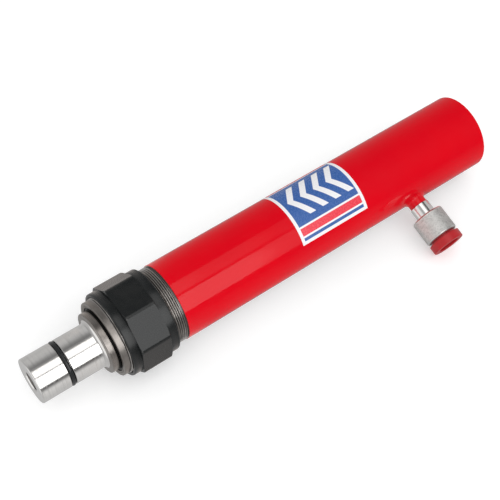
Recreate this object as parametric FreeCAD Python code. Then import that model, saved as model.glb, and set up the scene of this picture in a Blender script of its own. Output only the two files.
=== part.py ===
import FreeCAD, Part
import math
import os

# Two-stage telescopic hydraulic ram, single acting, spring return.
# Millimetres. Origin: centre of the base face. +X runs along the ram towards the nose,
# +Z is up with the ram lying on one flat of its collar nut, the oil coupler points to +Y.

# ---------------------------------------------------------------- driving dimensions
BARREL_R = 28.5            # painted barrel, outside
BARREL_BORE_R = 23.5       # stage-1 bore
BARREL_END = 316.6         # front face of the barrel
PAINT_END = 266.6          # the paint stops here, the collar thread starts
THREAD_R = 28.0            # M56 x 1.5 collar thread, crest
THREAD_PITCH = 1.5
THREAD_DEPTH = 0.92
THREAD_START = 267.4
THREAD_TURNS = 30
LEAD_R = 27.5              # plain lead in front of the thread
GLAND_SEAT_R = 25.0        # threaded seat for the gland nut, in the barrel mouth

SOCKET_R = 18.92           # M40 x 2 base socket, minor radius
SOCKET_DEPTH = 33.0
SOCKET_RELIEF_R = 20.3
SOCKET_FLOOR = 36.0
PLUG_FACE = 54.0           # pressure face of the base plug
STOP_R = 14.5              # annular stop on the base plug
STOP_IN_R = 11.0
STOP_END = 70.0

SLEEVE_R = 22.3            # stage-1 sleeve, outside
SLEEVE_BORE_R = 18.5       # stage-2 bore
SLEEVE_END = 317.0
STAGE1_STROKE = 175.0
PISTON1_REAR = 70.1
PISTON1_FRONT = 96.0
PISTON1_SPIGOT_END = 106.0
PISTON1_R = 23.42
PISTON1_EYE_R = 12.0
GLAND1_REAR = PISTON1_FRONT + STAGE1_STROKE + 0.05
GLAND1_END = 316.4
GLAND1_BORE_R = 22.36

PLUNGER_R = 16.0           # stage-2 plunger, outside
PLUNGER_BORE_R = 10.5
STAGE2_STROKE = 150.0
PISTON2_REAR = 106.1
PISTON2_FRONT = 124.0
PISTON2_R = 18.42
PISTON2_SEAT_R = 14.0
SEAL2_FLOOR_R = 15.7       # floor of the piston's seal groove
GLAND2_REAR = PISTON2_FRONT + STAGE2_STROKE + 0.05
GLAND2_END = 316.8
GLAND2_BORE_R = 16.06
GLAND2_SEAT_R = 20.3

FLANGE_REAR = 317.3        # nose adaptor flange
FLANGE_FRONT = 322.2
FLANGE_R = 22.15
NOSE_R = 16.25             # spigot
NOSE_END = 370.8
NOSE_FILLET = 2.7
SNAP_FROM = 345.9          # snap-ring groove
SNAP_TO = 349.7
SNAP_FLOOR_R = 13.0
NOSE_HOLE_R = 6.0          # M14 x 2, tapping radius
NOSE_HOLE_DEPTH = 25.0
NOSE_SHANK_R = 13.0
NOSE_SHANK_REAR = 299.0

NUT_REAR = 275.5           # octagonal collar nut
NUT_OCT_REAR = 282.2
NUT_OCT_FRONT = 304.6
NUT_FRONT = 311.2
NUT_APOTHEM = 30.9
NUT_COLLAR_R = 30.8
NUT_BORE_R = 28.08

SPRING_WIRE_R = 1.25       # extension return spring
SPRING_MEAN_R = 8.4
SPRING_PITCH = 6.0
SPRING_FROM = 57.0
SPRING_TURNS = 40
ANCHOR_R = 7.1

PORT_X = 66.0              # coupler axis
PORT_DROP = 15.3           # degrees below +Y
PORT_BOSS_R = 6.75
PORT_BOSS_END = 33.7       # distances from the ram axis, along the coupler axis
PORT_HOLE_R = 3.2
NECK_R = 7.5
COLLAR_FROM = 42.9
COLLAR_TO = 61.9
COLLAR_R = 12.4
COLLAR_BORE_R = 10.2
CAP_RIM_FROM = 63.6
CAP_RIM_TO = 69.9
CAP_RIM_R = 12.3
CAP_NECK_R = 10.1
CAP_RECESS_R = 8.15
POPPET_TRAVEL = 2.5

LABEL_FROM = 111.8         # label wrapped on the barrel, angles from +Z towards +Y
LABEL_TO = 169.5
LABEL_A0 = -70.0
LABEL_A1 = 60.6
LABEL_T = 0.12

V = FreeCAD.Vector
X = V(1, 0, 0)
os.makedirs("parts", exist_ok=True)
done = []


def keep(name, shape):
    if shape.ShapeType == "Compound" and len(shape.Solids) == 1:
        shape = shape.Solids[0]
    shape.exportStep("parts/%s.step" % name)
    done.append((name, shape))
    return shape


def turned(points):
    """Solid turned about the X axis. points: (x, r), or ((x, r), (x, r)) for an arc through the
    first point to the second."""
    edges = []
    first = V(points[0][0], 0, points[0][1])
    last = first
    for p in list(points[1:]) + [points[0]]:
        if isinstance(p[0], tuple):
            mid, end = V(p[0][0], 0, p[0][1]), V(p[1][0], 0, p[1][1])
            edges.append(Part.Arc(last, mid, end).toShape())
        else:
            end = V(p[0], 0, p[1])
            if (end - last).Length < 1e-7:
                continue
            edges.append(Part.makeLine(last, end))
        last = end
    solid = Part.Face(Part.Wire(edges)).revolve(V(0, 0, 0), X, 360)
    if solid.Volume < 0:
        solid.reverse()
    return solid


def ring(x0, x1, r0, r1, c=0.0):
    """Plain ring, with an outer chamfer c."""
    if c:
        return turned([(x0, r0), (x0, r1 - c), (x0 + c, r1), (x1 - c, r1), (x1, r1 - c), (x1, r0)])
    return turned([(x0, r0), (x0, r1), (x1, r1), (x1, r0)])


def torus(x, ring_r, wire_r):
    t = Part.makeTorus(ring_r, wire_r)
    t.rotate(V(0, 0, 0), V(0, 1, 0), 90)
    t.translate(V(x, 0, 0))
    return t


def coil(x0, turns, pitch, mean_r, wire_r):
    helix = Part.makeHelix(pitch, pitch * turns, mean_r)
    start = Part.makeCircle(wire_r, V(mean_r, 0, 0), V(0, 1, 0))
    shape = Part.Wire(helix).makePipeShell([Part.Wire(start)], True, True)
    shape.rotate(V(0, 0, 0), V(0, 1, 0), 90)
    shape.translate(V(x0, 0, 0))
    if shape.Volume < 0:
        shape.reverse()
    return shape


drop = math.radians(PORT_DROP)
PORT_DIR = V(0, math.cos(drop), -math.sin(drop))
TO_PORT = FreeCAD.Placement(V(PORT_X, 0, 0), FreeCAD.Rotation(X, PORT_DIR))


def at_port(shape):
    """Shapes of the coupler are turned about X first, then stood on the coupler axis."""
    s = shape.copy()
    s.Placement = TO_PORT.multiply(s.Placement)
    return s


# ================================================================ barrel and what is fixed to it
outer = [(0, 24.5), (0, BARREL_R - 1.3), ((0.38, BARREL_R - 0.38), (1.3, BARREL_R)),
         (PAINT_END - 0.25, BARREL_R), (PAINT_END, BARREL_R - 0.25), (PAINT_END, 27.15), (THREAD_START - 0.1, 27.15)]
x = THREAD_START
root = THREAD_R - THREAD_DEPTH
for i in range(THREAD_TURNS):
    outer += [(x + 0.56, THREAD_R), (x + 0.75, THREAD_R), (x + 1.31, root), (x + 1.5, root)]
    x += THREAD_PITCH
outer += [(x + 0.05, LEAD_R), (BARREL_END - 0.5, LEAD_R), (BARREL_END, LEAD_R - 0.5),
          (BARREL_END, GLAND_SEAT_R + 0.5), (BARREL_END - 0.5, GLAND_SEAT_R),
          (GLAND1_REAR, GLAND_SEAT_R), (GLAND1_REAR, BARREL_BORE_R), (2.5, BARREL_BORE_R)]
barrel = turned(outer)
port_drill = at_port(ring(20.0, 40.0, 0.0, PORT_HOLE_R))
keep("barrel", barrel.cut(port_drill))

plug = turned([(0, SOCKET_R), (0, 22.3), (2.5, BARREL_BORE_R), (PLUG_FACE, BARREL_BORE_R), (PLUG_FACE, STOP_R),
               (STOP_END, STOP_R), (STOP_END, STOP_IN_R), (PLUG_FACE, STOP_IN_R), (PLUG_FACE, 4.0), (42.0, 4.0), (42.0, 0),
               (SOCKET_FLOOR, 0), (SOCKET_FLOOR, SOCKET_RELIEF_R), (SOCKET_DEPTH + 0.8, SOCKET_RELIEF_R), (SOCKET_DEPTH, SOCKET_R)])
for ax in (V(0, 1, 0), V(0, 0, 1)):
    # oil ways through the stop ring
    plug = plug.cut(Part.makeCylinder(2.2, 40, V(62.0, 0, 0) - ax * 20, ax))
keep("base_plug", plug)
keep("base_weld", turned([(0, 22.3), (0, 24.5), (2.5, BARREL_BORE_R)]))

envelope = Part.makeCylinder(BARREL_R, 200, V(-10, 0, 0), X)
keep("port_boss", at_port(ring(24.0, PORT_BOSS_END, 4.6, PORT_BOSS_R, 0.0)).cut(envelope))
bead = turned([(24.0, PORT_BOSS_R), (24.0, 9.4), (27.9, 8.9), ((29.3, 7.5), (30.8, PORT_BOSS_R))])
keep("port_weld", at_port(bead).cut(envelope))

# front gland of the barrel
gland1 = turned([(GLAND1_REAR, GLAND1_BORE_R), (GLAND1_REAR, GLAND_SEAT_R), (GLAND1_END, GLAND_SEAT_R), (GLAND1_END, 24.3),
                 (GLAND1_END - 0.3, 24.0), (308.5, 24.0), (308.5, GLAND1_BORE_R),
                 (291.0, GLAND1_BORE_R), (291.0, 24.0), (276.0, 24.0), (276.0, GLAND1_BORE_R)])
keep("gland_nut", gland1)
keep("gland_bush", ring(276.0, 291.0, SLEEVE_R + 0.04, 24.0))
keep("gland_wiper", turned([(308.5, SLEEVE_R + 0.6), (308.5, 24.0), (315.7, 24.0), (315.7, SLEEVE_R + 0.4), (315.3, SLEEVE_R + 0.03), (314.5, SLEEVE_R + 0.03),
                            (312.6, SLEEVE_R + 0.6)]))

# label: a thin sheet wrapped on the barrel
wedge = Part.makeCylinder(BARREL_R + LABEL_T, LABEL_TO - LABEL_FROM, V(LABEL_FROM, 0, 0), X, LABEL_A1 - LABEL_A0)
core = Part.makeCylinder(BARREL_R, LABEL_TO - LABEL_FROM + 2, V(LABEL_FROM - 1, 0, 0), X)
sheet = wedge.cut(core)
b = sheet.BoundBox
cm = sheet.Solids[0].CenterOfMass
now = math.degrees(math.atan2(cm.y, cm.z))
sheet.rotate(V(0, 0, 0), X, now - 0.5 * (LABEL_A0 + LABEL_A1))
keep("label", sheet)

# ================================================================ collar nut
prism_pts = []
vr = NUT_APOTHEM / math.cos(math.pi / 8)
for k in range(9):
    t = math.radians(22.5 + 45 * k)
    prism_pts.append(V(NUT_OCT_REAR, vr * math.cos(t), vr * math.sin(t)))
octagon = Part.Face(Part.makePolygon(prism_pts)).extrude(V(NUT_OCT_FRONT - NUT_OCT_REAR, 0, 0))
chamfer_limit = turned([(NUT_OCT_REAR, 0), (NUT_OCT_REAR, vr - 1.3), (NUT_OCT_REAR + 0.9, vr + 0.2), (NUT_OCT_FRONT - 0.9, vr + 0.2),
                        (NUT_OCT_FRONT, vr - 1.3), (NUT_OCT_FRONT, 0)])
octagon = octagon.common(chamfer_limit)
collars = turned([(NUT_REAR, 0), (NUT_REAR, NUT_COLLAR_R - 0.8), (NUT_REAR + 0.8, NUT_COLLAR_R), (NUT_FRONT - 0.8, NUT_COLLAR_R),
                  (NUT_FRONT, NUT_COLLAR_R - 0.8), (NUT_FRONT, 0)])
nut_bore = turned([(NUT_REAR - 1, 0), (NUT_REAR - 1, NUT_BORE_R + 1.8), (NUT_REAR + 0.8, NUT_BORE_R), (NUT_FRONT - 0.8, NUT_BORE_R),
                   (NUT_FRONT + 1, NUT_BORE_R + 1.8), (NUT_FRONT + 1, 0)])
keep("collar_nut", octagon.fuse(collars).removeSplitter().cut(nut_bore))

# ================================================================ stage 1
sleeve = turned([(PISTON1_FRONT, SLEEVE_BORE_R), (PISTON1_FRONT, SLEEVE_R), (SLEEVE_END - 0.4, SLEEVE_R), (SLEEVE_END, SLEEVE_R - 0.4),
                 (SLEEVE_END, GLAND2_SEAT_R), (GLAND2_REAR, GLAND2_SEAT_R), (GLAND2_REAR, SLEEVE_BORE_R)])
keep("stage1_sleeve", sleeve)
piston1 = turned([(PISTON1_REAR, PISTON1_EYE_R), (PISTON1_REAR, PISTON1_R - 0.8), (PISTON1_REAR + 0.8, PISTON1_R), (75.0, PISTON1_R), (75.0, 20.6),
                  (81.0, 20.6), (81.0, PISTON1_R), (85.0, PISTON1_R), (85.0, 21.4), (93.0, 21.4), (93.0, PISTON1_R), (PISTON1_FRONT, PISTON1_R),
                  (PISTON1_FRONT, SLEEVE_BORE_R), (PISTON1_SPIGOT_END, SLEEVE_BORE_R), (PISTON1_SPIGOT_END, PISTON1_EYE_R)])
keep("stage1_piston", piston1)
keep("stage1_seal", turned([(75.0, 20.6), (75.0, BARREL_BORE_R - 0.03), (76.5, BARREL_BORE_R - 0.03), (78.0, PISTON1_R - 0.3), (81.0, PISTON1_R - 0.3), (81.0, 20.6)]))
keep("stage1_wear_ring", ring(85.0, 93.0, 21.4, BARREL_BORE_R - 0.04))
gland2 = turned([(GLAND2_REAR, GLAND2_BORE_R), (GLAND2_REAR, GLAND2_SEAT_R), (GLAND2_END, GLAND2_SEAT_R), (GLAND2_END, 16.7), (GLAND2_END - 0.4, 16.4),
                 (313.0, 16.4), (313.0, 17.7), (308.5, 17.7), (308.5, GLAND2_BORE_R), (292.0, GLAND2_BORE_R), (292.0, 17.7), (279.0, 17.7),
                 (279.0, GLAND2_BORE_R)])
keep("stage1_gland", gland2)
keep("stage1_bush", ring(279.0, 292.0, PLUNGER_R + 0.04, 17.7))
keep("stage1_wiper", turned([(308.5, PLUNGER_R + 0.5), (308.5, 17.7), (313.0, 17.7), (313.0, PLUNGER_R + 0.03), (312.2, PLUNGER_R + 0.03), (310.8, PLUNGER_R + 0.5)]))

# ================================================================ stage 2, plunger and nose
keep("plunger", turned([(PISTON2_REAR, PLUNGER_BORE_R), (PISTON2_REAR, PISTON2_SEAT_R), (PISTON2_FRONT, PISTON2_SEAT_R), (PISTON2_FRONT, PLUNGER_R),
                        (FLANGE_REAR, PLUNGER_R), (FLANGE_REAR, NOSE_SHANK_R), (NOSE_SHANK_REAR, NOSE_SHANK_R), (NOSE_SHANK_REAR, PLUNGER_BORE_R)]))
piston2 = turned([(PISTON2_REAR, PISTON2_SEAT_R), (PISTON2_REAR, PISTON2_R - 0.6), (PISTON2_REAR + 0.6, PISTON2_R), (109.0, PISTON2_R), (109.0, SEAL2_FLOOR_R),
                  (113.5, SEAL2_FLOOR_R), (113.5, PISTON2_R), (116.0, PISTON2_R), (116.0, 16.7), (121.5, 16.7), (121.5, PISTON2_R), (PISTON2_FRONT, PISTON2_R),
                  (PISTON2_FRONT, PISTON2_SEAT_R)])
keep("stage2_piston", piston2)
keep("stage2_seal", turned([(109.0, SEAL2_FLOOR_R), (109.0, SLEEVE_BORE_R - 0.03), (110.2, SLEEVE_BORE_R - 0.03), (111.4, PISTON2_R - 0.25),
                            (113.5, PISTON2_R - 0.25), (113.5, SEAL2_FLOOR_R)]))
keep("stage2_wear_ring", ring(116.0, 121.5, 16.7, SLEEVE_BORE_R - 0.04))

f = NOSE_FILLET
k = f * (1 - math.sqrt(0.5))
nose = turned([(NOSE_SHANK_REAR, 4.0), (NOSE_SHANK_REAR, NOSE_SHANK_R), (FLANGE_REAR, NOSE_SHANK_R), (FLANGE_REAR, FLANGE_R - 0.4),
               (FLANGE_REAR + 0.4, FLANGE_R), (FLANGE_FRONT - 0.5, FLANGE_R), (FLANGE_FRONT, FLANGE_R - 0.5), (FLANGE_FRONT, NOSE_R + f),
               ((FLANGE_FRONT + k, NOSE_R + k), (FLANGE_FRONT + f, NOSE_R)),
               (SNAP_FROM, NOSE_R), (SNAP_FROM, SNAP_FLOOR_R), (SNAP_TO, SNAP_FLOOR_R), (SNAP_TO, NOSE_R), (NOSE_END - 1.0, NOSE_R),
               (NOSE_END, NOSE_R - 1.0), (NOSE_END, NOSE_HOLE_R), (NOSE_END - NOSE_HOLE_DEPTH, NOSE_HOLE_R), (NOSE_END - NOSE_HOLE_DEPTH - 3.4, 0),
               (309.0, 0), (309.0, 4.0)])
keep("nose_adaptor", nose)
keep("nose_o_ring", torus(0.5 * (SNAP_FROM + SNAP_TO), 14.62, 1.58))

# ================================================================ return spring
keep("spring_anchor_rear", turned([(42.0, 0), (42.0, 4.0), (PLUG_FACE, 4.0), (PLUG_FACE, ANCHOR_R), (69.0, ANCHOR_R), (70.0, ANCHOR_R - 1.0), (70.0, 0)]))
spring_end = SPRING_FROM + SPRING_PITCH * SPRING_TURNS
keep("spring_anchor_front", turned([(spring_end - 16.0, 0), (spring_end - 16.0, ANCHOR_R - 1.0), (spring_end - 15.0, ANCHOR_R), (NOSE_SHANK_REAR, ANCHOR_R),
                                    (NOSE_SHANK_REAR, 4.0), (309.0, 4.0), (309.0, 0)]))
keep("return_spring", coil(SPRING_FROM, SPRING_TURNS, SPRING_PITCH, SPRING_MEAN_R, SPRING_WIRE_R))

# ================================================================ oil coupler, turned about its own axis
body = turned([(28.6, 2.0), (28.6, 4.6), (PORT_BOSS_END, 4.6), (PORT_BOSS_END, NECK_R - 0.3), (PORT_BOSS_END + 0.3, NECK_R), (43.7, NECK_R),
               (43.7, 6.6), (45.3, 6.6), (45.3, NECK_R), (46.3, NECK_R), (46.3, 9.7), (49.0, 9.7), (49.0, 6.2), (54.1, 6.2), (54.1, 5.0), (55.9, 5.0),
               (55.9, 6.2), (57.6, 6.2), (58.0, 5.8), (58.0, 2.4), (54.6, 2.4), (53.6, 3.8), (35.0, 3.8), (35.0, 2.0)])
# the small bore of the shank is stepped to the port drill
keep("coupler_body", at_port(body))
keep("coupler_o_ring", at_port(torus(55.0, 5.72, 0.7)))
keep("collar_snap_ring", at_port(torus(44.5, 7.5, 0.72)))
keep("poppet_retainer", at_port(ring(35.0, 37.0, 1.8, 3.8)))
keep("poppet_spring", at_port(coil(37.42, 6, 1.9, 2.75, 0.4)))
keep("poppet", at_port(turned([(49.4, 0), (49.4, 3.4), (53.3, 3.4), (54.2, 2.1), (54.2, 1.2), (57.0, 1.2), (57.4, 0.8), (57.4, 0)])))

collar = turned([(COLLAR_FROM, NECK_R + 0.08), (COLLAR_FROM, COLLAR_R - 1.3), ((COLLAR_FROM + 0.38, COLLAR_R - 0.38), (COLLAR_FROM + 1.3, COLLAR_R)),
                 (COLLAR_TO - 1.0, COLLAR_R), ((COLLAR_TO - 0.29, COLLAR_R - 0.29), (COLLAR_TO, COLLAR_R - 1.0)), (COLLAR_TO, COLLAR_BORE_R),
                 (46.0, COLLAR_BORE_R), (46.0, NECK_R + 0.08), (45.3, NECK_R + 0.08), (45.3, 8.4), (43.7, 8.4), (43.7, NECK_R + 0.08)])
keep("coupler_collar", at_port(collar))

cap = turned([(51.0, 6.7), (51.0, CAP_NECK_R - 0.7), (51.7, CAP_NECK_R), (CAP_RIM_FROM, CAP_NECK_R), (CAP_RIM_FROM, CAP_RIM_R - 0.5),
              (CAP_RIM_FROM + 0.5, CAP_RIM_R), (CAP_RIM_TO - 0.5, CAP_RIM_R), (CAP_RIM_TO, CAP_RIM_R - 0.5), (CAP_RIM_TO, CAP_RECESS_R + 0.4),
              (CAP_RIM_TO - 0.4, CAP_RECESS_R), (60.2, CAP_RECESS_R), (60.2, 0), (58.6, 0), (58.6, 6.7)])
keep("dust_cap", at_port(cap))

for name, s in done:
    bb = s.BoundBox
    print("%-22s %s solids %d valid %s vol %.1f  x %.2f..%.2f y %.2f..%.2f z %.2f..%.2f" % (
        name, s.ShapeType, len(s.Solids), s.isValid(), s.Volume, bb.XMin, bb.XMax, bb.YMin, bb.YMax, bb.ZMin, bb.ZMax))
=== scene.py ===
import math

import bpy
import numpy as np
from mathutils import Matrix, Vector


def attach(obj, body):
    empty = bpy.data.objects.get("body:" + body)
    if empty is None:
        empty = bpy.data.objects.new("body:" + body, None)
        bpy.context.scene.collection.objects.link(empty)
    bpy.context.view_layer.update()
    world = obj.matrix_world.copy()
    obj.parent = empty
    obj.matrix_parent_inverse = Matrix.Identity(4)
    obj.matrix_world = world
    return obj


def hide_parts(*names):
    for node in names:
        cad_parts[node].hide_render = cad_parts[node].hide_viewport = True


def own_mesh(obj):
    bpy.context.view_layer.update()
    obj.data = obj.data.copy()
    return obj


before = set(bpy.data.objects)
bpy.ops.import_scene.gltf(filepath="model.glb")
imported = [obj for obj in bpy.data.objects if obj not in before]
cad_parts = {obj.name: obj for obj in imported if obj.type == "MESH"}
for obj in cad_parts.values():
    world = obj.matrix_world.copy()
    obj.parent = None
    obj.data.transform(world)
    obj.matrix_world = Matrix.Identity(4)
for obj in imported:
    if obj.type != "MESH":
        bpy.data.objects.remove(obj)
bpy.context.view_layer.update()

MM = 0.001
sc = bpy.context.scene
sc.view_settings.view_transform = "Standard"
sc.view_settings.look = "None"

# ------------------------------------------------------------------ camera
# The ram lies on a table; the camera looks down on its nose end and its coupler side.
cam_data = bpy.data.cameras.new("camera")
cam_data.lens = 81.30
cam_data.sensor_width = 36.0
cam_data.clip_start, cam_data.clip_end = 0.01, 20.0
cam = bpy.data.objects.new("camera", cam_data)
sc.collection.objects.link(cam)
right, up, back = (-0.80560, 0.59194, 0.02274), (-0.47149, -0.66387, 0.58035), (0.35875, 0.45680, 0.81402)
place = (0.47755, 0.35832, 0.64249)
cam.matrix_world = Matrix([[right[i], up[i], back[i], place[i]] for i in range(3)] + [[0, 0, 0, 1]])
sc.camera = cam

# ------------------------------------------------------------------ small helpers


def smooth01(t):
    t = np.clip(t, 0.0, 1.0)
    return t * t * (3 - 2 * t)


def make_object(name, verts, faces, angle=32.0, uv=None):
    """A mesh piece in metres from millimetre points, smooth shaded with its hard edges kept."""
    me = bpy.data.meshes.new(name)
    me.from_pydata((np.asarray(verts, float) * MM).tolist(), [], [list(map(int, f)) for f in faces])
    me.validate()
    me.polygons.foreach_set("use_smooth", [True] * len(me.polygons))
    me.set_sharp_from_angle(angle=math.radians(angle))
    if uv is not None:
        layer = me.uv_layers.new(name="uv")
        idx = np.empty(len(me.loops), int)
        me.loops.foreach_get("vertex_index", idx)
        layer.data.foreach_set("uv", np.asarray(uv, float)[idx].ravel())
    ob = bpy.data.objects.new(name, me)
    sc.collection.objects.link(ob)
    return ob


def lathe_mesh(profile, n=192, fx=None):
    """Closed surface turned about X. profile: closed loop of (x, r) points, in the order that runs
    backwards (towards -x) along the bore and forwards along the outside. Points with r = 0 are poles.
    fx(x, r, theta) may move each ring's points: it returns new x and r arrays."""
    verts, rings = [], []
    th = np.arange(n) * 2 * math.pi / n
    for x, r in profile:
        if r <= 1e-9:
            rings.append([len(verts)])
            verts.append((x, 0.0, 0.0))
            continue
        xs, rs = np.full(n, float(x)), np.full(n, float(r))
        if fx is not None:
            xs, rs = fx(xs, rs, th)
        base = len(verts)
        verts += list(zip(xs, rs * np.sin(th), rs * np.cos(th)))
        rings.append(list(range(base, base + n)))
    faces = []
    m = len(rings)
    closed = not (len(rings[0]) == 1 and len(rings[-1]) == 1)
    for i in range(m if closed else m - 1):
        a, b = rings[i], rings[(i + 1) % m]
        if len(a) == 1 and len(b) == 1:
            continue
        for j in range(n):
            k = (j + 1) % n
            if len(a) == 1:
                faces.append((a[0], b[j], b[k]))
            elif len(b) == 1:
                faces.append((a[j], b[0], a[k]))
            else:
                faces.append((a[j], b[j], b[k], a[k]))
    return np.array(verts), faces


def rounded(points, seg=4):
    """Profile points (x, r[, radius]) with the corners that carry a radius rounded off.
    A point beside each round keeps the shading of the straight part flat."""
    out = []
    m = len(points)
    for i, p in enumerate(points):
        rad = p[2] if len(p) > 2 else 0
        if not rad:
            out.append((p[0], p[1]))
            continue
        P = np.array(p[:2], float)
        A = np.array(points[(i - 1) % m][:2], float)
        B = np.array(points[(i + 1) % m][:2], float)
        u, v = (A - P) / np.linalg.norm(A - P), (B - P) / np.linalg.norm(B - P)
        cosa = float(np.clip(u @ v, -0.9999, 0.9999))
        half = math.acos(cosa) / 2
        t = rad / math.tan(half)
        c = P + (u + v) / np.linalg.norm(u + v) * rad / math.sin(half)
        p0, p1 = P + u * t, P + v * t
        a0 = math.atan2(*(p0 - c)[::-1])
        a1 = math.atan2(*(p1 - c)[::-1])
        d = (a1 - a0 + math.pi) % (2 * math.pi) - math.pi
        near, far = P + u * (t + 0.12), P + v * (t + 0.12)
        if np.linalg.norm(A - P) > t + 0.6:
            out.append(tuple(near))
        for k in range(seg + 1):
            a = a0 + d * k / seg
            out.append((c[0] + rad * math.cos(a), c[1] + rad * math.sin(a)))
        if np.linalg.norm(B - P) > t + 0.6:
            out.append(tuple(far))
    return out


DROP = math.radians(15.3)
PORT_X = 66.0
PD = np.array([0.0, math.cos(DROP), -math.sin(DROP)])
PS = np.array([0.0, math.sin(DROP), math.cos(DROP)])     # square to the coupler axis and to X


def to_port(verts):
    """Turns points made about the X axis to the coupler axis."""
    v = np.asarray(verts, float)
    return np.array([PORT_X, 0, 0]) + v[:, :1] * PD + v[:, 1:2] * np.array([-1.0, 0, 0]) + v[:, 2:3] * PS


def lathe(name, profile, body, material, replaces=(), n=192, fx=None, port=False, angle=32.0):
    verts, faces = lathe_mesh(profile, n, fx)
    if port:
        verts = to_port(verts)
    ob = make_object(name, verts, faces, angle)
    fix_normals(ob)
    ob.data.materials.append(material)
    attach(ob, body)
    if replaces:
        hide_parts(*replaces)
    return ob


def fix_normals(ob):
    import bmesh
    bm = bmesh.new()
    bm.from_mesh(ob.data)
    bmesh.ops.recalc_face_normals(bm, faces=bm.faces)
    bm.to_mesh(ob.data)
    bm.free()


# ------------------------------------------------------------------ materials
class Mat:
    """A node material. Coordinates are the object's own, in millimetres."""

    def __init__(self, name, **sockets):
        self.m = bpy.data.materials.new(name)
        self.m.use_nodes = True
        self.nt = self.m.node_tree
        self.b = self.nt.nodes["Principled BSDF"]
        tc = self.nt.nodes.new("ShaderNodeTexCoord")
        mp = self.nt.nodes.new("ShaderNodeMapping")
        mp.inputs["Scale"].default_value = (1000, 1000, 1000)
        self.nt.links.new(tc.outputs["Object"], mp.inputs["Vector"])
        self.co = mp.outputs["Vector"]
        self.uv = tc.outputs["UV"]
        for k, v in sockets.items():
            self.b.inputs[k.replace("_", " ")].default_value = v

    def link(self, a, b):
        self.nt.links.new(a, b)

    def node(self, kind, **props):
        n = self.nt.nodes.new(kind)
        for k, v in props.items():
            setattr(n, k, v)
        return n

    def put(self, socket, v):
        if hasattr(v, "is_output"):
            self.link(v, socket)
        else:
            socket.default_value = v

    def math(self, op, a, b=0.0, c=None, clamp=False):
        n = self.node("ShaderNodeMath", operation=op, use_clamp=clamp)
        self.put(n.inputs[0], a)
        self.put(n.inputs[1], b)
        if c is not None:
            self.put(n.inputs[2], c)
        return n.outputs[0]

    def scaled(self, s, turn=None, vec=None):
        mp = self.node("ShaderNodeMapping")
        mp.inputs["Scale"].default_value = s
        if turn is not None:
            mp.inputs["Rotation"].default_value = turn
        self.link(vec or self.co, mp.inputs["Vector"])
        return mp.outputs["Vector"]

    def noise(self, scale, detail=3.0, rough=0.55, vec=None, distortion=0.0):
        n = self.node("ShaderNodeTexNoise")
        n.inputs["Scale"].default_value = scale
        n.inputs["Detail"].default_value = detail
        n.inputs["Roughness"].default_value = rough
        n.inputs["Distortion"].default_value = distortion
        self.link(vec or self.co, n.inputs["Vector"])
        return n.outputs["Fac"]

    def ramp(self, fac, lo, hi, v0=0.0, v1=1.0):
        n = self.node("ShaderNodeMapRange")
        n.interpolation_type = "SMOOTHSTEP"
        self.put(n.inputs["Value"], fac)
        n.inputs["From Min"].default_value = lo
        n.inputs["From Max"].default_value = hi
        n.inputs["To Min"].default_value = v0
        n.inputs["To Max"].default_value = v1
        return n.outputs["Result"]

    def mix(self, fac, a, b):
        n = self.node("ShaderNodeMix", data_type="RGBA")
        self.put(n.inputs["Factor"], fac)
        for sock, v in ((n.inputs[6], a), (n.inputs[7], b)):
            if isinstance(v, tuple):
                sock.default_value = (*v, 1.0)
            else:
                self.link(v, sock)
        return n.outputs[2]

    def colour(self, c):
        if isinstance(c, tuple):
            self.b.inputs["Base Color"].default_value = (*c, 1.0)
        else:
            self.link(c, self.b.inputs["Base Color"])

    def rough(self, v):
        self.put(self.b.inputs["Roughness"], v)

    def bump(self, height, distance, strength=1.0, onto=None):
        n = self.node("ShaderNodeBump")
        n.inputs["Strength"].default_value = strength
        n.inputs["Distance"].default_value = distance * MM
        self.link(height, n.inputs["Height"])
        if onto is not None:
            self.link(onto, n.inputs["Normal"])
        self.link(n.outputs["Normal"], self.b.inputs["Normal"])
        return n.outputs["Normal"]

    def edge(self, radius=0.35):
        """How far a point is on a worn outside edge, from the mesh's own curvature."""
        g = self.node("ShaderNodeNewGeometry")
        return g.outputs["Pointiness"]


def radial(m, port=False):
    """x along the axis, and y and z across it, in millimetres, for turning marks."""
    sep = m.node("ShaderNodeSeparateXYZ")
    m.link(m.co, sep.inputs[0])
    return sep.outputs


def red_enamel():
    m = Mat("red_enamel", Metallic=0.0, IOR=1.34)
    big = m.noise(0.02, 2.0)
    fine = m.noise(1.6, 4.0, 0.6)
    c = m.mix(m.ramp(big, 0.35, 0.65), (0.69, 0.0020, 0.0098), (0.665, 0.0023, 0.0105))
    speck = m.ramp(m.noise(0.55, 5.0, 0.7), 0.72, 0.78)
    c = m.mix(m.math("MULTIPLY", speck, 0.35), c, (0.56, 0.004, 0.010))
    m.colour(c)
    m.rough(m.ramp(m.noise(0.12, 4.0), 0.3, 0.7, 0.07, 0.12))
    peel = m.noise(0.55, 2.0, 0.5)
    h = m.math("ADD", m.math("MULTIPLY", peel, 1.0), m.math("MULTIPLY", fine, 0.12))
    m.bump(h, 0.012)
    return m.m


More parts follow.
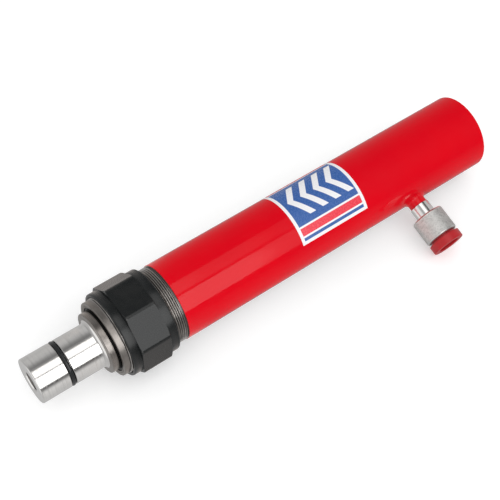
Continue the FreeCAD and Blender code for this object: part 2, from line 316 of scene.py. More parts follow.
def bright_steel(name, base=(0.70, 0.69, 0.67), lo=0.05, hi=0.11, lines=1.0, port=False):
    """Plated and polished, with faint turning marks round the axis."""
    m = Mat(name, Metallic=1.0)
    turned = m.scaled((1.0, 0.012, 0.012)) if not port else m.scaled((0.02, 0.02, 0.02), vec=m.co)
    marks = m.noise(5.0, 4.0, 0.7, vec=turned)
    smear = m.noise(0.10, 3.0, 0.5)
    tint = m.mix(m.ramp(smear, 0.35, 0.7), base, tuple(c * 0.95 for c in base))
    # broader lines where the tool dwelt: a little duller and a little darker
    broad = m.ramp(m.noise(0.75, 3.0, 0.65, vec=turned), 0.46, 0.70)
    m.colour(m.mix(m.math("MULTIPLY", broad, 0.16 * lines), tint, tuple(c * 0.55 for c in base)))
    m.rough(m.math("ADD", m.ramp(marks, 0.3, 0.7, lo, hi), m.math("MULTIPLY", broad, 0.07 * lines)))
    m.bump(marks, 0.0004 * lines)
    return m.m


def machined_steel(name, base, lo=0.22, hi=0.38, depth=0.006, scale=3.0, mottle=0.12, root_shade=None):
    """Turned steel left with a light film of oil and some handling marks and, when asked, painted shade darkening the
    roots of a thread.
    """
    m = Mat(name, Metallic=1.0)
    turned = m.scaled((1.0, 0.02, 0.02))
    marks = m.noise(scale, 5.0, 0.75, vec=turned)
    stain = m.noise(0.16, 5.0, 0.65)
    dark = tuple(c * (1 - mottle * 2.2) for c in base)
    c = m.mix(m.ramp(stain, 0.42, 0.72), base, dark)
    c = m.mix(m.math("MULTIPLY", m.ramp(marks, 0.45, 0.75), 0.35), c, tuple(min(1, x * 1.15) for x in base))
    if root_shade:
        # painted shade: the roots of the thread are darkened, by the distance from the axis
        ax = m.node("ShaderNodeSeparateXYZ")
        m.link(m.co, ax.inputs[0])
        yy = m.math("MULTIPLY", ax.outputs[1], ax.outputs[1])
        zz = m.math("MULTIPLY", ax.outputs[2], ax.outputs[2])
        r = m.math("SQRT", m.math("ADD", yy, zz))
        c = m.mix(m.ramp(r, root_shade[0], root_shade[1], 0.80, 0.0), c, (0.030, 0.027, 0.025))
    m.colour(c)
    m.rough(m.math("ADD", m.ramp(marks, 0.25, 0.75, lo, hi), m.ramp(stain, 0.5, 0.8, 0.0, 0.08)))
    m.bump(marks, depth)
    return m.m


def black_oxide():
    """Blackened steel: a dark satin film, lighter where an edge has rubbed bright."""
    m = Mat("black_oxide", Metallic=0.0, IOR=1.46)
    grain = m.noise(2.6, 5.0, 0.65)
    cloud = m.noise(0.09, 4.0, 0.6)
    c = m.mix(m.ramp(cloud, 0.35, 0.7), (0.0075, 0.009, 0.0095), (0.012, 0.0128, 0.0128))
    c = m.mix(m.math("MULTIPLY", m.ramp(grain, 0.62, 0.8), 0.5), c, (0.026, 0.026, 0.026))
    edge = m.ramp(m.edge(), 0.535, 0.62)
    rub = m.math("MULTIPLY", edge, m.ramp(m.noise(0.5, 4.0, 0.7), 0.35, 0.65))
    m.colour(m.mix(m.math("MULTIPLY", rub, 0.7), c, (0.16, 0.155, 0.15)))
    m.rough(m.math("ADD", m.ramp(grain, 0.3, 0.75, 0.22, 0.32), m.ramp(cloud, 0.4, 0.8, 0.0, 0.06)))
    m.bump(grain, 0.008)
    return m.m


def rubber_black(name="rubber_black", base=(0.012, 0.013, 0.0135), r0=0.32, r1=0.5):
    m = Mat(name, Metallic=0.0, IOR=1.5)
    g = m.noise(2.2, 4.0, 0.6)
    m.colour(m.mix(m.ramp(m.noise(0.25, 3.0), 0.35, 0.7), base, tuple(c * 1.9 for c in base)))
    m.rough(m.ramp(g, 0.3, 0.7, r0, r1))
    m.bump(g, 0.008)
    return m.m


def knurled():
    m = Mat("knurled_plate", Metallic=1.0)
    stain = m.noise(0.22, 4.0, 0.65)
    fine = m.noise(3.2, 4.0, 0.7)
    grit = m.noise(0.85, 3.0, 0.6)
    c = m.mix(m.ramp(stain, 0.35, 0.7), (0.74, 0.73, 0.71), (0.62, 0.61, 0.59))
    c = m.mix(m.math("MULTIPLY", m.ramp(grit, 0.48, 0.66), 0.55), c, (0.40, 0.39, 0.375))
    m.colour(m.mix(m.math("MULTIPLY", m.ramp(fine, 0.5, 0.75), 0.35), c, (0.74, 0.73, 0.71)))
    m.rough(m.math("ADD", m.ramp(fine, 0.3, 0.7, 0.34, 0.46), m.ramp(stain, 0.5, 0.8, 0.0, 0.06)))
    m.bump(fine, 0.006)
    return m.m


def cap_plastic():
    m = Mat("cap_plastic", Metallic=0.0, IOR=1.42)
    m.b.inputs["Subsurface Weight"].default_value = 0.08
    m.b.inputs["Subsurface Radius"].default_value = (0.003, 0.0006, 0.0006)
    cloud = m.noise(0.15, 3.0)
    fine = m.noise(1.8, 4.0, 0.6)
    c = m.mix(m.ramp(cloud, 0.3, 0.7), (0.455, 0.008, 0.013), (0.405, 0.008, 0.012))
    m.colour(c)
    m.rough(m.ramp(fine, 0.3, 0.7, 0.30, 0.42))
    m.bump(fine, 0.010)
    return m.m


def plain_inner(name, base, metallic, r0, r1, scale=1.5):
    m = Mat(name, Metallic=metallic)
    n = m.noise(scale, 4.0, 0.65, vec=m.scaled((1.0, 0.08, 0.08)))
    m.colour(m.mix(m.ramp(n, 0.3, 0.7), base, tuple(c * 0.82 for c in base)))
    m.rough(m.ramp(n, 0.3, 0.7, r0, r1))
    m.bump(n, 0.004)
    return m.m


PAINT = red_enamel()
NOSE = bright_steel("bright_plate", base=(0.90, 0.885, 0.865), lo=0.09, hi=0.17)
NECK = bright_steel("bright_plate_neck", base=(0.80, 0.785, 0.77), lo=0.14, hi=0.22, lines=0.8)
CHROME = bright_steel("hard_chrome", base=(0.74, 0.745, 0.75), lo=0.04, hi=0.08, lines=0.4)
# its thread roots are darkened: painted shade
THREAD = machined_steel("thread_steel", (0.60, 0.57, 0.545), lo=0.24, hi=0.36, root_shade=(27.15, 27.7))
LEAD = machined_steel("gland_steel", (0.31, 0.287, 0.268), lo=0.30, hi=0.42)
# a dark copy of the turned steel for the nose's tapped hole: painted shade inside the bore
HOLE_SHADE = machined_steel("hole_steel_painted_shade", (0.20, 0.19, 0.18), lo=0.32, hi=0.45)
FLANGE = machined_steel("flange_steel", (0.33, 0.305, 0.285), lo=0.24, hi=0.36)
NUT = black_oxide()
RUBBER = rubber_black()
RING = rubber_black("rubber_ring", (0.008, 0.009, 0.0095), 0.15, 0.26)
KNURL = knurled()
CAP = cap_plastic()
BRONZE = plain_inner("bronze_turned", (0.62, 0.42, 0.2), 1.0, 0.25, 0.4)
SPRING = plain_inner("spring_wire", (0.36, 0.36, 0.37), 1.0, 0.3, 0.45)
SEAL = rubber_black("seal_polyurethane", (0.05, 0.10, 0.20), 0.3, 0.42)
WEAR = plain_inner("wear_polymer", (0.22, 0.19, 0.13), 0.0, 0.45, 0.6)

# ------------------------------------------------------------------ barrel
PITCH = 1.5
T0, T1 = 267.4, 312.4
TR, TD = 28.0, 0.92
BARREL_N = 288


def thread_r(x, th, x0, x1, crest, depth, pitch, fade=1.2):
    """Radius of a 60 degree thread at x and angle th; the run-out at its ends is left to the caller."""
    ph = ((x - x0) / pitch - th / (2 * math.pi)) % 1.0
    tri = np.abs(ph - 0.5) * 2.0                     # 1 at the crest, 0 at the root
    v = np.clip((tri - 0.10) / (0.86 - 0.10), 0.0, 1.0)
    return crest - depth * (1 - v)


def barrel_fx(xs, rs, th):
    x = xs[0]
    if rs[0] > 26.0 and T0 - 0.05 <= x <= T1 + 0.05:
        r = thread_r(xs, th, T0, T1, TR, TD, PITCH)
        k = min(1.0, max(0.0, (x - T0) / 0.5))
        r = 27.12 * (1 - k) + r * k
        j = min(1.0, max(0.0, (T1 - x) / 0.7))
        r = np.minimum(r, 27.5 + 0.5 * j)
        rs = r
    return xs, rs


prof = rounded([(0.0, 24.55), (0.0, 28.5, 0.8), (5.0, 28.5)], 8)[:-1]
prof += [(x, 28.5) for x in np.linspace(6, 264, 44)]
prof += rounded([(265.0, 28.5), (266.6, 28.5, 0.28), (266.62, 27.15)], 4)[1:]
prof += [(266.95, 27.12)]
prof += [(x, 27.6) for x in np.arange(T0, 278.6, 0.125)]
prof += [(x, 27.6) for x in np.arange(309.6, T1 + 0.05, 0.125)]
prof += [(T1 + 0.12, 27.5)]
prof += rounded([(314.0, 27.5), (316.6, 27.5, 0.45), (316.6, 25.5), (316.1, 25.02), (271.1, 25.0)], 4)[1:]
prof += [(271.1, 23.5), (2.5, 23.5)]


def barrel_part():
    ob = lathe("barrel_tube", prof, "barrel", PAINT, ["barrel"], BARREL_N, barrel_fx, angle=40)
    me = ob.data
    me.materials.append(THREAD)
    me.materials.append(LEAD)
    for p in me.polygons:
        x = p.center.x * 1000
        r = math.hypot(p.center.y, p.center.z) * 1000
        if x > 266.75 or (r < 28.2 and x > 266.55):
            p.material_index = 1 if x < T1 else 2
        elif r < 24.2 and x > 2:
            p.material_index = 2
    ob.visible_diffuse = False      # no red cast on the table
    return ob


barrel_part()

# base plug with its threaded socket, and the dressed weld round it
SR, SRD = 18.92, 1.1


def socket_fx(xs, rs, th):
    x = xs[0]
    if 18.0 < rs[0] < 21.0 and -0.01 <= x <= 33.0:
        r = 19.95 - thread_r(xs, th, 0.0, 33.0, 1.02, 1.02, 2.0)   # grooves go outwards from the wall
        k = min(1.0, x / 1.2)
        rs = np.full_like(rs, 20.0) * (1 - k) + r * k
    return xs, rs


sp = [(0.0, 20.0), (0.0, 22.3), (2.5, 23.5), (54.0, 23.5), (54.0, 14.5), (70.0, 14.5), (70.0, 11.0), (54.0, 11.0), (54.0, 0.0)]
sp2 = [(36.0, 0.0), (36.0, 20.3), (33.2, 20.3)] + [(x, 19.5) for x in np.arange(33.0, 0.01, -0.17)]
plug_profile = sp2 + sp
plug_ob = lathe("base_plug_cut", plug_profile, "barrel", LEAD, ["base_plug"], 192, socket_fx, angle=40)
plug_ob.data.materials.append(PAINT)
for p in plug_ob.data.polygons:
    r = math.hypot(p.center.y, p.center.z) * 1000
    if p.center.x * 1000 < 0.3 and r > 20.2:
        p.material_index = 1


def weld_fx(xs, rs, th):
    if xs[0] < 0.5:
        w = 0.10 * np.sin(th * 61 + 1.3 * np.sin(th * 3)) + 0.05 * np.sin(th * 23 + 1)
        k = 1.0 if 22.6 < rs[0] < 24.3 else 0.0
        xs = xs + k * (0.12 - w * 0.8)
    return xs, rs


lathe("base_weld_bead", [(2.45, 23.5), (0.02, 22.32), (0.06, 22.8), (0.0, 23.4), (0.06, 24.0), (0.02, 24.52)], "barrel", PAINT, ["base_weld"], 244, weld_fx)

# ------------------------------------------------------------------ port boss and weld
lathe("port_boss_turned", rounded([(27.0, 4.6), (27.0, 6.75), (33.7, 6.75, 0.35), (33.7, 4.6)], 4), "barrel", PAINT, ["port_boss"], 96, port=True)


def weld_bead():
    n, m = 160, 14
    verts = []
    for i in range(n):
        a = 2 * math.pi * i / n
        ca, sa = math.cos(a), math.sin(a)
        ripple = 0.14 * math.sin(a * 26 + 0.8 * math.sin(a * 5)) + 0.10 * math.sin(a * 7 + 1.2)
        reach = 8.7 + 0.25 * math.sin(a * 3 + 0.5) + 0.20 * math.sin(a * 11)
        top = 30.5 + 0.14 * math.sin(a * 4 + 2) + 0.1 * math.sin(a * 9)
        for j in range(m + 1):
            t = j / m
            rho = 6.73 + (reach - 6.73) * (1 - math.cos(t * math.pi / 2)) ** 1.0
            Lb = math.sqrt(max(0.0, 28.5 ** 2 - (rho * sa) ** 2))
            L = Lb + (top - Lb) * (1 - math.sin(t * math.pi / 2)) ** 1.15
            bell = math.sin(t * math.pi)
            L += ripple * bell * 0.7 + 0.30 * bell
            if j == m:
                L = Lb - 0.25
            verts.append((L, -rho * ca, rho * sa))
        # under side, inside the barrel wall
        Lb = math.sqrt(28.5 ** 2 - (6.73 * sa) ** 2)
        verts.append((Lb - 0.6, -6.73 * ca, 6.73 * sa))
    rows = m + 2
    faces = []
    for i in range(n):
        k = (i + 1) % n
        for j in range(rows):
            q = (j + 1) % rows
            faces.append((i * rows + j, i * rows + q, k * rows + q, k * rows + j))
    ob = make_object("port_weld_bead", to_port(verts), faces, 60)
    fix_normals(ob)
    ob.data.materials.append(PAINT)
    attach(ob, "barrel")
    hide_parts("port_weld")


weld_bead()

# ------------------------------------------------------------------ gland nut, wiper, bush
lathe("gland_ring", rounded([(271.05, 22.36), (271.05, 25.0), (316.4, 25.0, 0.35), (316.4, 24.0, 0.25), (308.5, 24.0), (308.5, 22.36),
                             (291.0, 22.36), (291.0, 24.0), (276.0, 24.0), (276.0, 22.36)], 4), "barrel", LEAD, ["gland_nut"], 224)
lathe("gland_wiper_lip", rounded([(308.5, 22.9), (308.5, 24.0), (315.7, 24.0, 0.25), (315.5, 23.1, 0.3), (315.7, 22.5, 0.1), (315.3, 22.33), (314.5, 22.33), (312.6, 22.9)], 3), "barrel", RUBBER, ["gland_wiper"], 160)

# ------------------------------------------------------------------ collar nut
OX0, OX1 = 282.2, 304.6
NX0, NX1 = 275.5, 311.2
AP = 30.9
VR = AP / math.cos(math.pi / 8)


def nut():
    n = 512
    th = np.arange(n) * 2 * math.pi / n
    # octagon with slightly rounded corners: smooth minimum of neighbouring flats
    k = (th + math.pi / 8) // (math.pi / 4)
    a = th - k * math.pi / 4
    flat = AP / np.cos(a)
    corner = 33.05
    octr = -0.10 * np.log(np.exp(-flat / 0.10 * 1.0 + corner / 0.10) + 1.0) + corner
    octr = np.minimum(octr, flat)
    rows = []

    def row(x, r):
        rows.append((np.full(n, x), np.broadcast_to(np.asarray(r, float), (n,)).copy()))

    # bore, from front to back
    row(NX1, 28.9)
    row(NX1 - 0.8, 28.08)
    row(NX0 + 0.8, 28.08)
    row(NX0, 28.9)
    # rear collar, with a rounded rear edge
    for q in range(6):
        b = math.pi / 2 * q / 5
        row(NX0 + 0.9 * (1 - math.cos(b)), 29.9 + 0.9 * math.sin(b))
    row(OX0 - 0.30, 30.8)
    row(OX0 - 0.06, 30.72)
    lim = lambda d: VR - 1.5 + d * 1.9
    row(OX0 - 0.02, np.minimum(octr, 30.72))
    row(OX0, np.minimum(octr, lim(0.0)))
    for d in (0.10, 0.22, 0.35, 0.5, 0.65, 0.8):
        row(OX0 + d, np.minimum(octr, lim(d)) - 0.03 * max(0, 1 - d / 0.2))
    for x in np.linspace(OX0 + 1.4, OX1 - 1.4, 12):
        row(x, octr)
    for d in (0.8, 0.65, 0.5, 0.35, 0.22, 0.10):
        row(OX1 - d, np.minimum(octr, lim(d)) - 0.03 * max(0, 1 - d / 0.2))
    row(OX1, np.minimum(octr, lim(0.0)))
    row(OX1 + 0.02, np.minimum(octr, 30.72))
    row(OX1 + 0.06, 30.72)
    row(OX1 + 0.30, 30.8)
    for q in range(6):
        b = math.pi / 2 * (1 - q / 5)
        row(NX1 - 0.9 * (1 - math.cos(b)), 29.9 + 0.9 * math.sin(b))
    verts, faces = [], []
    for xs, rs in rows:
        verts += list(zip(xs, rs * np.sin(th), rs * np.cos(th)))
    m = len(rows)
    for i in range(m):
        i2 = (i + 1) % m
        for j in range(n):
            j2 = (j + 1) % n
            faces.append((i * n + j, i2 * n + j, i2 * n + j2, i * n + j2))
    ob = make_object("collar_nut_body", verts, faces, 24)
    fix_normals(ob)
    ob.data.materials.append(NUT)
    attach(ob, "collar_nut")
    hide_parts("collar_nut")


nut()

# ------------------------------------------------------------------ stage 1
sleeve_ob = lathe("stage1_tube", rounded([(96.0, 18.5), (96.0, 22.3), (315.0, 22.3), (317.0, 22.3, 0.3), (317.0, 20.35), (274.05, 20.3), (274.05, 18.5)], 4), "stage1", CHROME, ["stage1_sleeve"], 224)
# the sleeve's mouth beyond the chrome is painted black: painted shade for the dark gap behind the flange
MOUTH_SHADE = machined_steel("mouth_painted_shade", (0.020, 0.020, 0.020), lo=0.35, hi=0.5)
sleeve_ob.data.materials.append(MOUTH_SHADE)
for p in sleeve_ob.data.polygons:
    if p.center.x * 1000 > 315.0:
        p.material_index = 1
lathe("stage1_gland_ring", rounded([(274.05, 16.06), (274.05, 20.3), (316.8, 20.3, 0.3), (316.8, 16.7, 0.25), (313.0, 16.4), (313.0, 17.7), (308.5, 17.7), (308.5, 16.06),
                                    (292.0, 16.06), (292.0, 17.7), (279.0, 17.7), (279.0, 16.06)], 4), "stage1", LEAD, ["stage1_gland"], 192)

# ------------------------------------------------------------------ plunger and nose
lathe("plunger_rod", rounded([(106.1, 10.5), (106.1, 14.0), (124.0, 14.0), (124.0, 16.0, 0.3), (317.3, 16.0), (317.3, 13.0), (299.0, 13.0), (299.0, 10.5)], 4), "stage2", CHROME, ["plunger"], 224)


def hole_fx(xs, rs, th):
    x = xs[0]
    if 5.5 < rs[0] < 7.3 and 345.8 <= x < 369.9:
        r = 7.05 - thread_r(xs, th, 345.8, 370.8, 1.05, 1.05, 2.0)
        k = min(1.0, (369.9 - x) / 0.9)
        rs = np.full_like(rs, 7.0) * (1 - k) + r * k
    return xs, rs


fil = [(322.2 + 2.7 * (1 - math.cos(t)), 16.25 + 2.7 * (1 - math.sin(t))) for t in np.linspace(0, math.pi / 2, 9)]
np_prof = [(342.4, 0.0), (345.8, 6.0)] + [(x, 6.5) for x in np.arange(346.0, 369.9, 0.16)] + [(370.05, 7.0)]
np_prof += rounded([(370.05, 7.0), (370.8, 7.75, 0.12), (370.8, 16.25, 0.9), (349.7, 16.25, 0.25), (349.7, 13.0), (345.9, 13.0), (345.9, 16.25, 0.25), (344.0, 16.25)], 5)[1:]
np_prof += [(x, 16.25) for x in (340.0, 335.0, 330.0)]
np_prof += list(reversed(fil))
np_prof += rounded([(322.2, 20.0), (322.2, 22.15, 0.55), (317.3, 22.15, 0.5), (317.3, 13.0), (299.0, 13.0), (299.0, 4.0)], 5)[1:]
np_prof += [(309.0, 4.0), (309.0, 0.0)]
nose_ob = lathe("nose_adaptor_turned", np_prof, "stage2", NOSE, ["nose_adaptor"], 256, hole_fx, angle=35)
nose_ob.data.materials.append(FLANGE)
# the tapped hole gets the dark steel: painted shade
nose_ob.data.materials.append(HOLE_SHADE)
for p in nose_ob.data.polygons:
    x = p.center.x * 1000
    r = math.hypot(p.center.y, p.center.z) * 1000
    if x < 322.4 and r > 13.1:
        p.material_index = 1
    elif r < 7.2 and x > 340:
        p.material_index = 2


def o_ring():
    n, m = 200, 28
    verts = []
    for i in range(n):
        a = 2 * math.pi * i / n
        # a loose ring: it has settled a little to the low side of its groove
        R = 14.80 - 0.15 * math.cos(a - math.radians(20))
        w = 1.64
        cx = 347.8 + 0.10 * math.sin(2 * a + 0.6)
        for j in range(m):
            b = 2 * math.pi * j / m
            rr = R + w * math.cos(b)
            verts.append((cx + w * math.sin(b), rr * math.sin(a), rr * math.cos(a)))
    faces = [(i * m + j, i * m + (j + 1) % m, ((i + 1) % n) * m + (j + 1) % m, ((i + 1) % n) * m + j) for i in range(n) for j in range(m)]
    ob = make_object("nose_snap_ring", verts, faces, 80)
    fix_normals(ob)
    ob.data.materials.append(RING)
    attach(ob, "stage2")
    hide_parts("nose_o_ring")


o_ring()

# ------------------------------------------------------------------ coupler
body_prof = rounded([(28.6, 2.0), (28.6, 4.6), (33.7, 4.6), (33.7, 7.5, 0.35), (43.7, 7.5), (43.7, 6.6), (45.3, 6.6), (45.3, 7.5), (46.3, 7.5), (46.3, 9.7, 0.2), (49.0, 9.7, 0.2),
                     (49.0, 6.2), (54.1, 6.2), (54.1, 5.0), (55.9, 5.0), (55.9, 6.2), (58.0, 6.2, 0.5), (58.0, 2.4), (54.6, 2.4), (53.6, 3.8), (35.0, 3.8), (35.0, 2.0)], 4)
lathe("coupler_nipple", body_prof, "barrel", NECK, ["coupler_body"], 160, port=True)


def knurl_fx(xs, rs, th):
    x = xs[0]
    if rs[0] > 12.2 and 44.2 < x < 60.6:
        n = 84
        u = th * n / (2 * math.pi)
        v = x * n / (2 * math.pi * 12.4) * 0.9
        p = np.abs(((u + v) % 1.0) - 0.5) * 2
        q = np.abs(((u - v) % 1.0) - 0.5) * 2
        h = np.minimum(np.clip(p * 1.3, 0, 1), np.clip(q * 1.3, 0, 1))
        k = min(1.0, (x - 44.2) / 0.35, (60.6 - x) / 0.35)
        rs = rs - 0.20 * k * (1 - h)
    return xs, rs


cp = rounded([(42.9, 7.58), (42.9, 12.4, 1.35), (44.2, 12.4)], 7)[:-1]
cp += [(x, 12.4) for x in np.arange(44.3, 60.6, 0.15)]
cp += [(60.75, 12.4), (61.0, 12.38), (61.85, 11.65), (61.9, 11.5), (61.9, 10.3), (61.7, 10.2)]
cp += [(46.0, 10.2), (46.0, 7.58), (45.3, 7.58), (45.3, 8.4), (43.7, 8.4), (43.7, 7.58)]
lathe("coupler_collar_knurled", cp, "coupler_collar", KNURL, ["coupler_collar"], 504, knurl_fx, port=True, angle=50)

cap_prof = rounded([(51.0, 6.7), (51.0, 10.1, 0.6), (61.3, 10.1, 0.2), (61.7, 9.3, 0.2), (63.6, 9.3, 0.3), (63.6, 12.3, 0.5), (69.9, 12.3, 0.7), (69.9, 8.15, 0.45), (60.2, 8.0, 0.5), (60.2, 0.0)], 5)
cap_prof += [(58.6, 0.0), (58.6, 6.7)]
lathe("dust_cap_moulded", cap_prof, "dust_cap", CAP, ["dust_cap"], 192, port=True)


# ------------------------------------------------------------------ poppet spring
def poppet_spring():
    """A small coil spring for the poppet, six turns of round wire on the coupler axis."""
    x0, turns, pitch, mean, wire, per, m = 37.42, 6, 1.9, 2.75, 0.4, 32, 12
    verts = []
    for k in range(turns * per + 1):
        a = 2 * math.pi * k / per
        centre = Vector((x0 + pitch * k / per, mean * math.sin(a), -mean * math.cos(a)))
        out = Vector((0.0, math.sin(a), -math.cos(a)))
        side = Vector((pitch / (2 * math.pi), mean * math.cos(a), mean * math.sin(a))).normalized().cross(out)
        for j in range(m):
            b = 2 * math.pi * j / m
            verts.append(tuple(centre + out * (wire * math.cos(b)) + side * (wire * math.sin(b))))
    n = turns * per
    faces = [(i * m + j, i * m + (j + 1) % m, (i + 1) * m + (j + 1) % m, (i + 1) * m + j) for i in range(n) for j in range(m)]
    faces.append(tuple(range(m))[::-1])
    faces.append(tuple(range(n * m, n * m + m)))
    ob = make_object("poppet_spring_coil", to_port(verts), faces, 60)
    fix_normals(ob)
    ob.data.materials.append(SPRING)
    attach(ob, "barrel")
    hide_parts("poppet_spring")
    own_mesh(ob)


poppet_spring()

# ------------------------------------------------------------------ label
def label():
    nx, na = 60, 120
    x0, x1, a0, a1 = 111.8, 168.9, -70.0, 59.4
    verts, uv = [], []
    for side, r in ((0, 28.5 + 0.115), (1, 28.5 + 0.01)):
        for i in range(nx + 1):
            for j in range(na + 1):
                x = x0 + (x1 - x0) * i / nx
                a = math.radians(a0 + (a1 - a0) * j / na)
                verts.append((x, r * math.sin(a), r * math.cos(a)))
                uv.append(((x - x0) / 100.0, math.radians(a1 - math.degrees(a)) * 28.5 / 100.0))
    f = []
    off = (nx + 1) * (na + 1)
    g = lambda s, i, j: s * off + i * (na + 1) + j
    for i in range(nx):
        for j in range(na):
            f.append((g(0, i, j), g(0, i, j + 1), g(0, i + 1, j + 1), g(0, i + 1, j)))
            f.append((g(1, i, j), g(1, i + 1, j), g(1, i + 1, j + 1), g(1, i, j + 1)))
    for i in range(nx):
        for j, s in ((0, 1), (na, -1)):
            q = (g(0, i, j), g(0, i + 1, j), g(1, i + 1, j), g(1, i, j))
            f.append(q if s > 0 else q[::-1])
    for j in range(na):
        for i, s in ((0, -1), (nx, 1)):
            q = (g(0, i, j), g(0, i, j + 1), g(1, i, j + 1), g(1, i, j))
            f.append(q if s > 0 else q[::-1])
    ob = make_object("label_film", verts, f, 40, uv)
    fix_normals(ob)
    m = Mat("label_print", Metallic=0.0, IOR=1.46)
    m.b.inputs["Coat Weight"].default_value = 0.35
    m.b.inputs["Coat Roughness"].default_value = 0.08
    sep = m.node("ShaderNodeSeparateXYZ")
    m.link(m.uv, sep.inputs[0])
    # s: millimetres along the ram from the label's base-side edge; t: millimetres up round the barrel from its lower edge
    s = m.math("MULTIPLY", sep.outputs[0], 100.0)
    t = m.math("MULTIPLY", sep.outputs[1], 100.0)

    def band(v, lo, hi, soft=0.06):
        a = m.ramp(v, lo - soft, lo + soft)
        b = m.ramp(v, hi - soft, hi + soft, 1.0, 0.0)
        return m.math("MULTIPLY", a, b)

    def both(a, b):
        return m.math("MULTIPLY", a, b)

    WHITE, BLUE, RED = (0.86, 0.855, 0.87), (0.045, 0.125, 0.38), (0.80, 0.045, 0.07)
    c = WHITE
    # a blue field in the white border, a red stripe along each long edge, and four plain chevrons that point to the nose
    c = m.mix(both(band(s, 2.4, 54.7), band(t, 2.4, 62.0)), c, BLUE)
    for lo, hi in ((6.0, 11.6), (52.8, 58.4)):
        c = m.mix(both(band(s, 2.4, 54.7), band(t, lo - 1.3, hi + 1.3)), c, WHITE)
        c = m.mix(both(band(s, 2.4, 54.7), band(t, lo, hi)), c, RED)
    off_centre = m.math("ABSOLUTE", m.math("SUBTRACT", t, 32.2))
    row = m.math("ADD", s, m.math("MULTIPLY", off_centre, 0.62))
    cell = m.math("FRACT", m.math("MULTIPLY", m.math("SUBTRACT", row, 12.2), 1 / 11.2))
    inside = both(band(row, 12.3, 12.2 + 4 * 11.2), m.ramp(off_centre, 14.5, 14.7, 1.0, 0.0))
    c = m.mix(both(inside, band(cell, 0.015, 0.47, 0.01)), c, WHITE)
    # print fades a little with handling
    wear = m.ramp(m.noise(0.35, 5.0, 0.7), 0.62, 0.78)
    c = m.mix(m.math("MULTIPLY", wear, 0.10), c, (0.75, 0.72, 0.72))
    m.colour(c)
    fine = m.noise(0.9, 3.0)
    m.rough(m.ramp(fine, 0.3, 0.7, 0.22, 0.32))
    m.bump(fine, 0.006)
    ob.data.materials.append(m.m)
    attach(ob, "barrel")
    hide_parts("label")


label()

# ------------------------------------------------------------------ materials on the CAD nodes that stay
KEEP = {
    "gland_bush": BRONZE, "stage1_bush": BRONZE, "stage1_wiper": RUBBER, "stage1_piston": LEAD, "stage2_piston": LEAD,
    "stage1_seal": SEAL, "stage2_seal": SEAL, "stage1_wear_ring": WEAR, "stage2_wear_ring": WEAR,
    "spring_anchor_rear": LEAD, "spring_anchor_front": LEAD, "return_spring": SPRING, "coupler_o_ring": RUBBER,
    "collar_snap_ring": SPRING, "poppet_retainer": SPRING, "poppet": NECK,
}
for name, mat in KEEP.items():
    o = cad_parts[name]
    if not o.data.materials:
        o.data.materials.append(mat)
    for i in range(len(o.material_slots)):
        o.material_slots[i].link = "OBJECT"
        o.material_slots[i].material = mat

# ------------------------------------------------------------------ floor, lights, surroundings
b_, c_ = -0.009325, -0.01795
N = Vector((-b_, -c_, 1.0)).normalized()


def floor():
    s = 3.0
    v = [(x, y, -0.0287 + b_ * x + c_ * y) for x, y in ((-s, -s), (s, -s), (s, s), (-s, s))]
    me = bpy.data.meshes.new("floor")
    me.from_pydata(v, [], [(0, 1, 2, 3)])
    ob = bpy.data.objects.new("floor", me)
    sc.collection.objects.link(ob)
    m = Mat("floor_paper", Metallic=0.0)
    n = m.noise(0.02, 3.0)
    m.colour(m.mix(m.ramp(n, 0.3, 0.7), (0.82, 0.82, 0.82), (0.80, 0.80, 0.80)))
    m.rough(m.ramp(n, 0.3, 0.7, 0.6, 0.7))
    m.b.inputs["Emission Color"].default_value = (1.0, 1.0, 1.0, 1.0)
    m.b.inputs["Emission Strength"].default_value = 0.32
    me.materials.append(m.m)
    ob.visible_glossy = False


floor()


def softbox(name, angle, half, dist, x0, x1, radiance, colour=(1, 1, 1)):
    """A long softbox beside the ram: angle and half width are seen from the ram axis, from +Z towards +Y."""
    w = 2 * dist * math.tan(math.radians(half))
    L = x1 - x0
    d = bpy.data.lights.new(name, "AREA")
    d.shape = "RECTANGLE"
    d.size, d.size_y = L, w
    d.energy = radiance * math.pi * L * w
    d.color = colour
    o = bpy.data.objects.new(name, d)
    sc.collection.objects.link(o)
    a = math.radians(angle)
    out = Vector((0, math.sin(a), math.cos(a)))
    xx = Vector((1, 0, 0))
    yy = out.cross(xx)
    o.matrix_world = Matrix([[xx[i], yy[i], out[i], (Vector(((x0 + x1) / 2, 0, 0)) + out * dist)[i]] for i in range(3)] + [[0, 0, 0, 1]])
    o.visible_camera = False
    return o


def reflect_only(o):
    o.visible_diffuse = False
    return o


def soft_only(o):
    o.visible_glossy = False
    return o


# the long softboxes that show as bands in the plating and the paint, fading out towards the base end
reflect_only(softbox("band_top_near", 10.5, 16.0, 0.85, -0.02, 0.40, 1.07, (1.0, 0.985, 0.965)))
reflect_only(softbox("band_top_far", 10.5, 16.0, 0.85, -0.14, -0.02, 0.62))
reflect_only(softbox("band_top_end", 10.5, 16.0, 0.85, -0.24, -0.14, 0.28))
reflect_only(softbox("band_front", 56.2, 23.2, 0.85, -0.14, 0.60, 2.1))
reflect_only(softbox("band_front_end", 56.2, 23.2, 0.85, -0.24, -0.14, 0.9))

# the soft light itself
soft_only(softbox("key", 35.0, 35.0, 1.1, -0.5, 1.2, 0.75))

world = bpy.data.worlds.new("studio")
sc.world = world
world.use_nodes = True
nt = world.node_tree
bg = nt.nodes["Background"]


def wnode(kind, **props):
    n = nt.nodes.new(kind)
    for k, v in props.items():
        setattr(n, k, v)
    return n


tc = wnode("ShaderNodeTexCoord")
sep = wnode("ShaderNodeSeparateXYZ")
nt.links.new(tc.outputs["Generated"], sep.inputs[0])
at = wnode("ShaderNodeMath", operation="ARCTAN2")
nt.links.new(sep.outputs[1], at.inputs[0])
nt.links.new(sep.outputs[2], at.inputs[1])
deg = wnode("ShaderNodeMapRange")
deg.inputs["From Min"].default_value = -math.pi
deg.inputs["From Max"].default_value = math.pi
nt.links.new(at.outputs[0], deg.inputs["Value"])


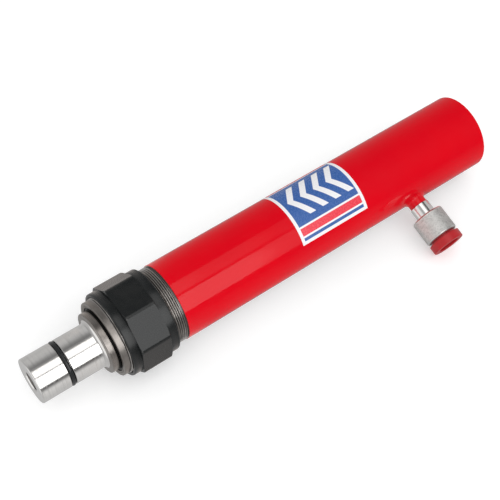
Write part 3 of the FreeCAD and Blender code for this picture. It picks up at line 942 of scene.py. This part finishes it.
def wall(stops, warm=0.0):
    """Grey surroundings by the angle about the ram axis, from +Z towards +Y."""
    cr = wnode("ShaderNodeValToRGB")
    nt.links.new(deg.outputs[0], cr.inputs[0])
    el = cr.color_ramp.elements
    # the surroundings below are a little warm, from the table
    el[0].position, el[1].position = 0.0, 1.0
    for a, v in stops[1:-1]:
        el.new((a + 180.0) / 360.0)
    for e, (a, v) in zip(el, stops):
        w = warm if abs(a) > 60 else 0.0
        e.color = (v * (1 + w), v * (1 - 0.3 * w), v * (1 - 1.0 * w), 1)
    return cr.outputs[0]


def along(lo, hi):
    """0 below lo and 1 above hi, by how far a direction leans to +X."""
    n = wnode("ShaderNodeMapRange", interpolation_type="SMOOTHSTEP")
    nt.links.new(sep.outputs[0], n.inputs["Value"])
    n.inputs["From Min"].default_value = lo
    n.inputs["From Max"].default_value = hi
    return n.outputs["Result"]


def blend(f, a, b):
    n = wnode("ShaderNodeMix", data_type="RGBA")
    nt.links.new(f, n.inputs[0])
    for sock, v in ((n.inputs[6], a), (n.inputs[7], b)):
        if isinstance(v, float):
            sock.default_value = (v, v, v, 1.0)
        else:
            nt.links.new(v, sock)
    return n.outputs[2]


nose_end = wall([(-180, 0.53), (-120, 0.50), (-90, 0.46), (-70, 0.50), (-50, 0.47), (-40, 0.38), (-30, 0.25), (-20, 0.17), (-9, 0.30), (29.8, 0.27),
                 (80, 0.10), (89, 0.07), (98, 0.36), (104, 0.60), (110, 0.70), (130, 0.61), (150, 0.55), (180, 0.52)])
base_end = wall([(-180, 0.34), (-120, 0.36), (-90, 0.33), (-70, 0.25), (-50, 0.15), (-30, 0.06), (-12, 0.04), (29.8, 0.15), (80, 0.05), (93, 0.04),
                 (109, 0.20), (129, 0.30), (149, 0.30), (180, 0.34)])
front = wall([(-180, 0.52), (-120, 0.50), (-85, 0.42), (-60, 0.36), (0, 0.38), (60, 0.34), (85, 0.30), (120, 0.50), (180, 0.52)])
ahead = wall([(-180, 0.52), (-120, 0.50), (-85, 0.46), (-60, 0.42), (0, 0.44), (60, 0.40), (85, 0.34), (120, 0.50), (180, 0.52)])
nut_end = wall([(-180, 0.80), (-120, 0.90), (-90, 0.80), (-70, 0.55), (-50, 0.36), (-30, 0.20), (-20, 0.15), (-9, 0.20), (29.8, 0.60),
                (80, 0.20), (88, 0.16), (98, 0.28), (110, 0.52), (130, 0.64), (150, 0.70), (180, 0.80)], 0.07)
env = blend(along(-0.30, -0.268), base_end, nut_end)
env = blend(along(-0.218, -0.205), env, nose_end)
env = blend(along(-0.12, -0.02), env, blend(along(0.25, 0.45), front, ahead))
env = blend(along(0.66, 0.86), env, 0.95)
env = blend(along(-0.70, -0.60), 0.62, env)
lp = wnode("ShaderNodeLightPath")
nt.links.new(blend(lp.outputs["Is Glossy Ray"], 0.80, env), bg.inputs["Color"])
bg.inputs["Strength"].default_value = 1.0
